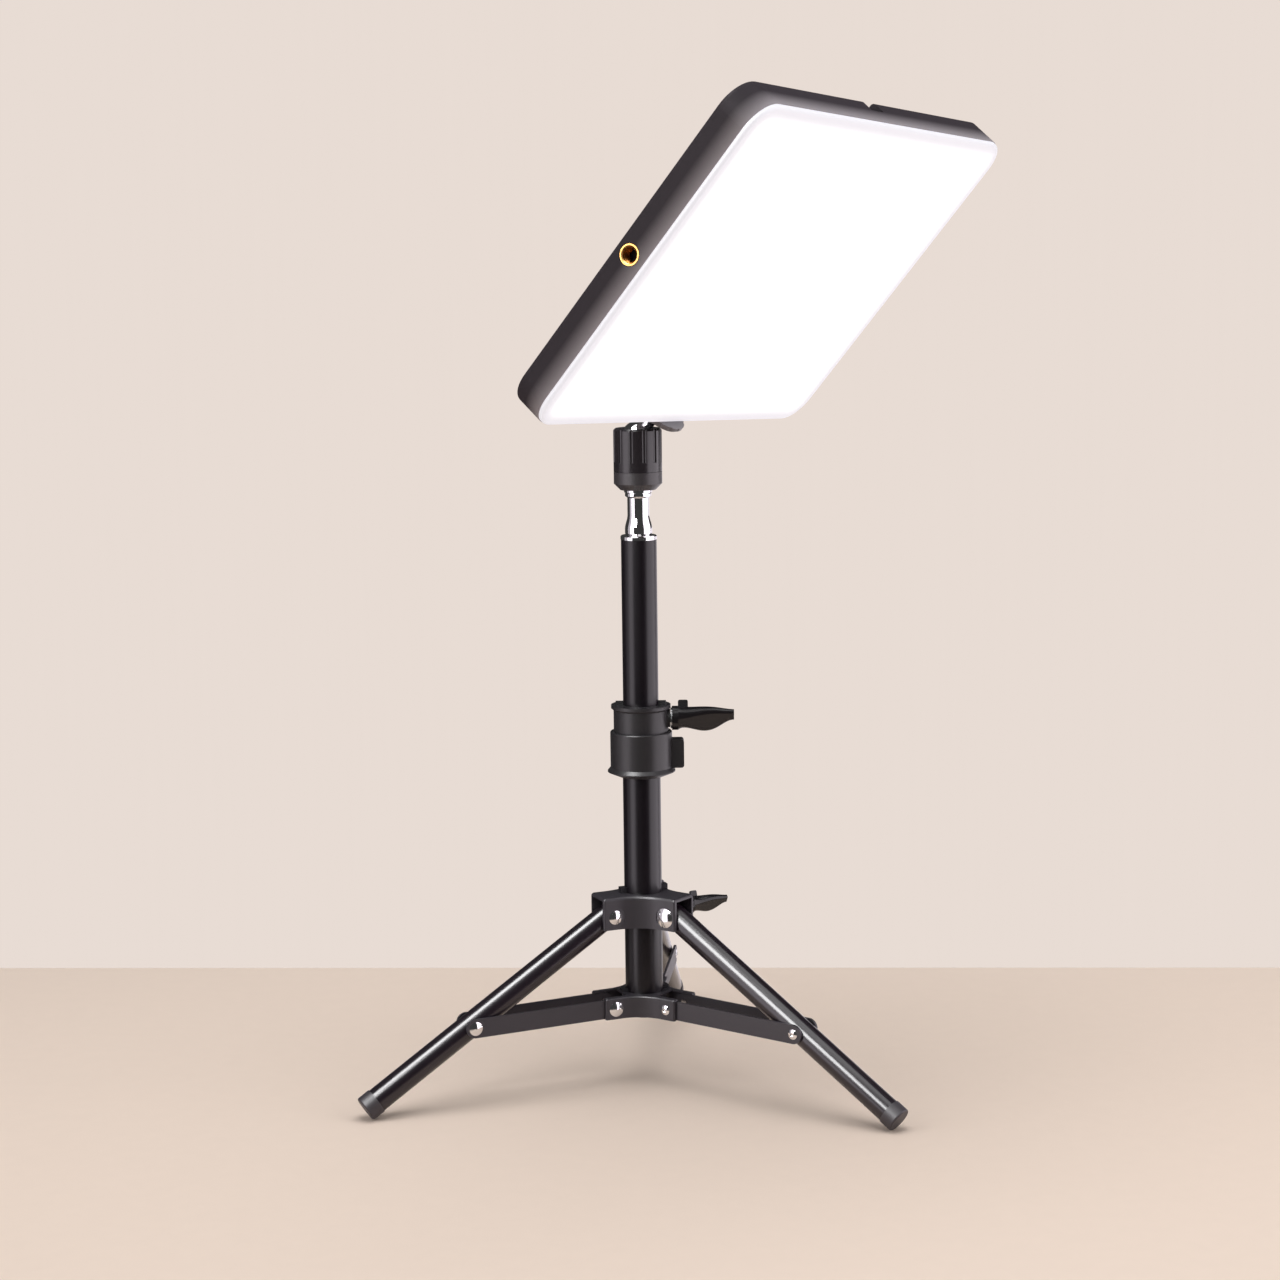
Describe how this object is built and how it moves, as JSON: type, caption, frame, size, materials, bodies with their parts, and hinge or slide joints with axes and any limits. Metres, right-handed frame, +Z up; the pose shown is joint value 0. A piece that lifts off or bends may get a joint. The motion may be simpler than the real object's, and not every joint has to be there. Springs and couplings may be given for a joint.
{
  "type": "led panel light",
  "caption": "Flat rectangular LED panel light tilted on a ball head, on a short two-section column with a folding tubular tripod base.",
  "frame": {"origin": "on the floor, in the middle of the ground that the stand and its leaning panel take up", "axes": "+Z up along the column; the panel leans towards +X and -Y and shines that way and down; +X is the side of the collar's wing knob"},
  "size_m": [0.374, 0.372, 0.5696],
  "materials": {
    "tube_black": "satin anodised",
    "hub_grey": "matte powder coat",
    "collar_black": "matte",
    "plastic_black": "matte",
    "nylon_black": "matte",
    "chrome": "polished",
    "steel": "satin",
    "knob_black": "satin",
    "head_black": "satin",
    "ring_black": "semi-gloss",
    "disc_grey": "matte",
    "foot_black": "matte",
    "shell_charcoal": "fine matte",
    "diffuser_white": "frosted, lit from behind",
    "acrylic": "clear",
    "sheet_white": "white film",
    "board_white": "white solder mask",
    "chassis_white": "matte",
    "brass": "turned",
    "board_green": "solder mask",
    "button_grey": "matte"
  },
  "bodies": {
    "column": {"lower_tube": "tube_black", "tube_end_plug": "plastic_black", "lower_hub": "hub_grey", "lower_hub_bushing": "nylon_black", "lower_hub_rivets": "chrome", "height_collar": "collar_black", "collar_pinch_bolt": "steel", "collar_guide": "nylon_black", "collar_clamp_pad": "nylon_black"},
    "slider": {"upper_hub": "hub_grey", "upper_hub_bushing": "nylon_black", "leg_pivot_rivets": "chrome", "hub_clamp_pad": "nylon_black"},
    "leg_a": {"leg_tube_a": "tube_black", "leg_plug_a": "plastic_black", "foot_cap_a": "foot_black"},
    "strut_a": {"strut_bars_a": "hub_grey", "strut_rivets_a": "chrome"},
    "leg_b": {"leg_tube_b": "tube_black", "leg_plug_b": "plastic_black", "foot_cap_b": "foot_black"},
    "strut_b": {"strut_bars_b": "hub_grey", "strut_rivets_b": "chrome"},
    "leg_c": {"leg_tube_c": "tube_black", "leg_plug_c": "plastic_black", "foot_cap_c": "foot_black"},
    "strut_c": {"strut_bars_c": "hub_grey", "strut_rivets_c": "chrome"},
    "hub_knob": {"hub_wing_knob": "knob_black", "hub_knob_screw": "steel"},
    "collar_knob": {"collar_wing_knob": "knob_black", "collar_knob_screw": "steel", "collar_knob_washer": "chrome"},
    "mast_slider": {"mast_tail_plug": "nylon_black"},
    "mast": {"upper_tube": "tube_black", "mast_cap": "chrome", "spigot": "chrome", "head_base": "head_black"},
    "lock_ring": {"lock_ring": "ring_black"},
    "seat": {"ball_seat": "nylon_black"},
    "ball": {"ball_stem": "chrome"},
    "lock_disc": {"lock_disc": "disc_grey"},
    "panel": {"rear_shell": "shell_charcoal", "diffuser": "diffuser_white", "light_guide": "acrylic", "reflector_sheet": "sheet_white", "led_strips": "board_white", "chassis": "chassis_white", "side_insert_left": "brass", "side_insert_right": "brass", "bottom_insert": "brass", "back_screws": "steel", "driver_board": "board_green", "dc_inlet": "plastic_black"},
    "button_1_cap": {"button_1": "button_grey"},
    "button_2_cap": {"button_2": "button_grey"},
    "button_3_cap": {"button_3": "button_grey"},
    "button_4_cap": {"button_4": "button_grey"}
  },
  "joints": [
    {"name": "hub_slide", "type": "slide", "parent": "column", "child": "slider", "axis": [0, 0, 1], "range_m": [-0.0375, 0]},
    {"name": "leg_fold_a", "type": "hinge", "parent": "slider", "child": "leg_a", "pos_m": [-0.00587, -0.00367, 0.10246], "axis": [0.5878, 0.809, 0], "range_deg": [0, 57.6]},
    {"name": "strut_fold_a", "type": "hinge", "parent": "column", "child": "strut_a", "pos_m": [-0.00519, -0.00417, 0.048], "axis": [0.5878, 0.809, 0], "range_deg": [0, 89.9]},
    {"name": "leg_fold_b", "type": "hinge", "parent": "slider", "child": "leg_b", "pos_m": [-0.02137, 0.03114, 0.10246], "axis": [-0.9945, 0.1045, 0], "range_deg": [0, 57.6]},
    {"name": "strut_fold_b", "type": "hinge", "parent": "column", "child": "strut_b", "pos_m": [-0.02128, 0.03198, 0.048], "axis": [-0.9945, 0.1045, 0], "range_deg": [0, 89.9]},
    {"name": "leg_fold_c", "type": "hinge", "parent": "slider", "child": "leg_c", "pos_m": [-0.04377, 0.00031, 0.10246], "axis": [0.4067, -0.9135, 0], "range_deg": [0, 57.6]},
    {"name": "strut_fold_c", "type": "hinge", "parent": "column", "child": "strut_c", "pos_m": [-0.04455, -0.00003, 0.048], "axis": [0.4067, -0.9135, 0], "range_deg": [0, 89.9]},
    {"name": "hub_knob_turn", "type": "hinge", "parent": "slider", "child": "hub_knob", "pos_m": [-0.02367, 0.00926, 0.10246], "axis": [0.9135, 0.4067, 0], "range_deg": [0, 540]},
    {"name": "collar_knob_turn", "type": "hinge", "parent": "column", "child": "collar_knob", "pos_m": [-0.02367, 0.00926, 0.2167], "axis": [1, 0, 0], "range_deg": [0, 540]},
    {"name": "mast_slide", "type": "slide", "parent": "column", "child": "mast_slider", "axis": [0, 0, 1], "range_m": [-0.0921, 0.035]},
    {"name": "mast_turn", "type": "hinge", "parent": "mast_slider", "child": "mast", "pos_m": [-0.02367, 0.00926, 0.15], "axis": [0, 0, 1], "continuous": true},
    {"name": "lock_ring_turn", "type": "hinge", "parent": "mast", "child": "lock_ring", "pos_m": [-0.02367, 0.00926, 0.3604], "axis": [0, 0, 1], "range_deg": [0, 150]},
    {"name": "ball_pan", "type": "hinge", "parent": "mast", "child": "seat", "pos_m": [-0.02367, 0.00926, 0.3798], "axis": [0, 0, 1], "continuous": true},
    {"name": "ball_tilt", "type": "hinge", "parent": "seat", "child": "ball", "pos_m": [-0.02367, 0.00926, 0.3798], "axis": [0.4695, 0.8829, 0], "range_deg": [-83, 2.5]},
    {"name": "lock_disc_turn", "type": "hinge", "parent": "ball", "child": "lock_disc", "pos_m": [-0.01282, 0.00349, 0.39429], "axis": [0.5711, -0.3036, 0.7627], "continuous": true},
    {"name": "panel_turn", "type": "hinge", "parent": "ball", "child": "panel", "pos_m": [-0.01111, 0.00258, 0.39658], "axis": [0.5711, -0.3036, 0.7627], "continuous": true},
    {"name": "button_press_1", "type": "slide", "parent": "panel", "child": "button_1_cap", "axis": [0.6345, -0.4262, -0.6448], "range_m": [0, 0.0008], "stiffness_N_per_m": 900},
    {"name": "button_press_2", "type": "slide", "parent": "panel", "child": "button_2_cap", "axis": [0.6345, -0.4262, -0.6448], "range_m": [0, 0.0008], "stiffness_N_per_m": 900},
    {"name": "button_press_3", "type": "slide", "parent": "panel", "child": "button_3_cap", "axis": [0.6345, -0.4262, -0.6448], "range_m": [0, 0.0008], "stiffness_N_per_m": 900},
    {"name": "button_press_4", "type": "slide", "parent": "panel", "child": "button_4_cap", "axis": [0.6345, -0.4262, -0.6448], "range_m": [0, 0.0008], "stiffness_N_per_m": 900}
  ],
  "couplings": [
    {"joint": "leg_fold_a", "follows": "hub_slide", "rad_per_m": -26.808},
    {"joint": "leg_fold_b", "follows": "hub_slide", "rad_per_m": -26.808},
    {"joint": "leg_fold_c", "follows": "hub_slide", "rad_per_m": -26.808},
    {"joint": "strut_fold_a", "follows": "hub_slide", "rad_per_m": -41.842},
    {"joint": "strut_fold_b", "follows": "hub_slide", "rad_per_m": -41.842},
    {"joint": "strut_fold_c", "follows": "hub_slide", "rad_per_m": -41.842}
  ]
}
